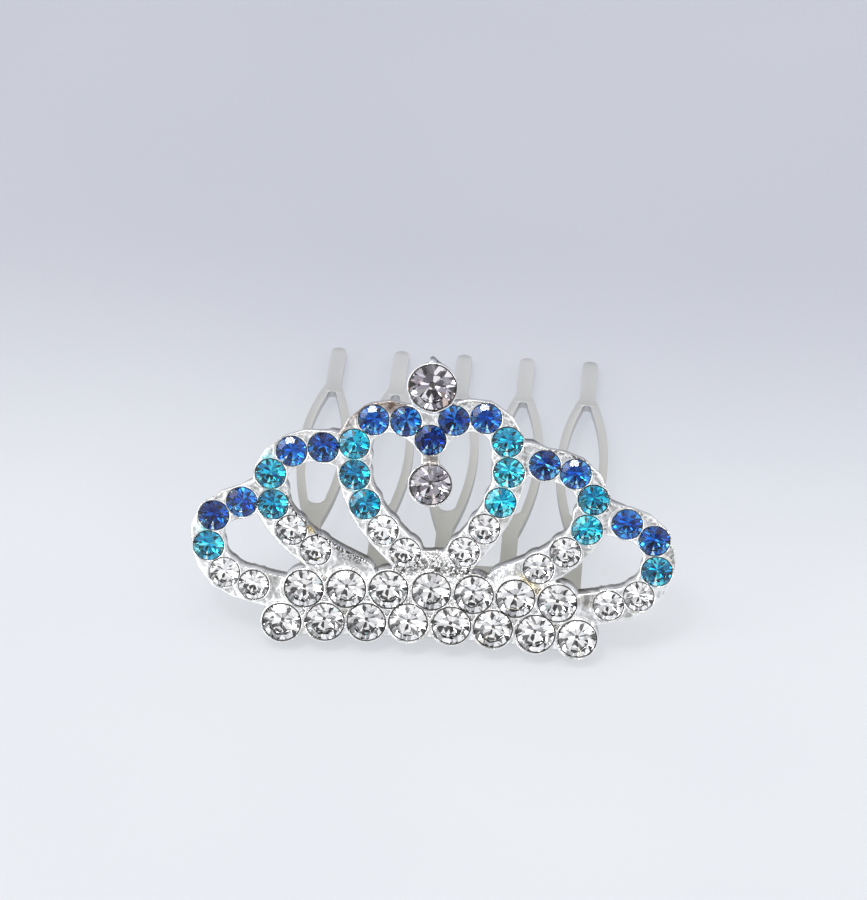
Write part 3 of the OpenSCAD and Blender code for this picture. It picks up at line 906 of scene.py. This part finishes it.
# %% Comb
# triangles that meet at less than the first angle are one face, edges over the second are rounded,
# and those over the third still look sharp
SAME_FACE, ROUNDED_FROM, SHARP_FROM = math.radians(0.5), math.radians(50), math.radians(35)
EDGE_ROUND = 0.16 * MM
comb = merged("comb", "comb_tumbled", Matrix())
pick(comb)
bpy.ops.object.mode_set(mode="EDIT")
bpy.ops.mesh.select_all(action="SELECT")
bpy.ops.mesh.dissolve_limited(angle_limit=SAME_FACE)
bpy.ops.object.mode_set(mode="OBJECT")
apply(comb, "BEVEL", width=EDGE_ROUND, segments=3, limit_method="ANGLE", angle_limit=ROUNDED_FROM)
pick(comb)
bpy.ops.object.shade_smooth_by_angle(angle=SHARP_FROM)
dress(comb, comb_metal, "comb_steel", "comb")

# %% [markdown]
# ## Glue
# The comb's flange is glued to the back of the casting. The glue was squeezed out along the flange's
# upper edge and set there in a lumpy, milky bead. A tube would be too even, so a row of balls of
# different sizes is melted to one skin.

# %% Glue
LUMPS = random.Random(23)
# the flange is what lies nearer to the casting's back than this, and the bead stops short of its ends
FLANGE_REACH, END_GAP = 1.2 * MM, 0.5 * MM
# in mm: the balls' radii and spacing, how far they lie over the flange's edge and behind the casting
LUMP_RADII, LUMP_STEPS = (0.35, 0.60), (0.45, 0.75)
LUMP_OVER, LUMP_BEHIND = (-0.35, 0.05), (0.25, 0.5)
GLUE_VOXEL = 0.13 * MM
glue, tree, main = finish_of("set glue")
place = node(tree, "TexCoord").outputs["Object"]
milk = ramp(tree, [(0.35, (0.62, 0.61, 0.57)), (0.65, (0.80, 0.80, 0.78))], noise(tree, place, 500.0, 3.0))
feed(tree, main, {"Base Color": milk, "Roughness": 0.25, "Subsurface Weight": 0.3,
                  "Subsurface Radius": (0.6 * MM, 0.6 * MM, 0.5 * MM)})
comb_points = spots("comb")
flange = comb_points[comb_points[:, 2] > back_w - FLANGE_REACH]
edge_v = flange[:, 1].max()
left, right = flange[:, 0].min(), flange[:, 0].max()
print("flange from", round(left / MM, 2), "to", round(right / MM, 2), "up to", round(edge_v / MM, 2))
lumps = []
u = left + END_GAP
while u < right - END_GAP:
    r = LUMPS.uniform(*LUMP_RADII) * MM
    place = (u, edge_v + LUMPS.uniform(*LUMP_OVER) * MM, back_w - LUMPS.uniform(*LUMP_BEHIND) * MM)
    bpy.ops.mesh.primitive_ico_sphere_add(subdivisions=3, radius=r, location=place)
    lumps.append(bpy.context.object)
    u += LUMPS.uniform(*LUMP_STEPS) * MM
glue_bead = joined("glue_bead", lumps)
settle(glue_bead)
apply(glue_bead, "REMESH", mode="VOXEL", voxel_size=GLUE_VOXEL)
apply(glue_bead, "SMOOTH", factor=0.5, iterations=6)
settle(glue_bead, FACE)
smooth(glue_bead)
dress(glue_bead, glue, None)
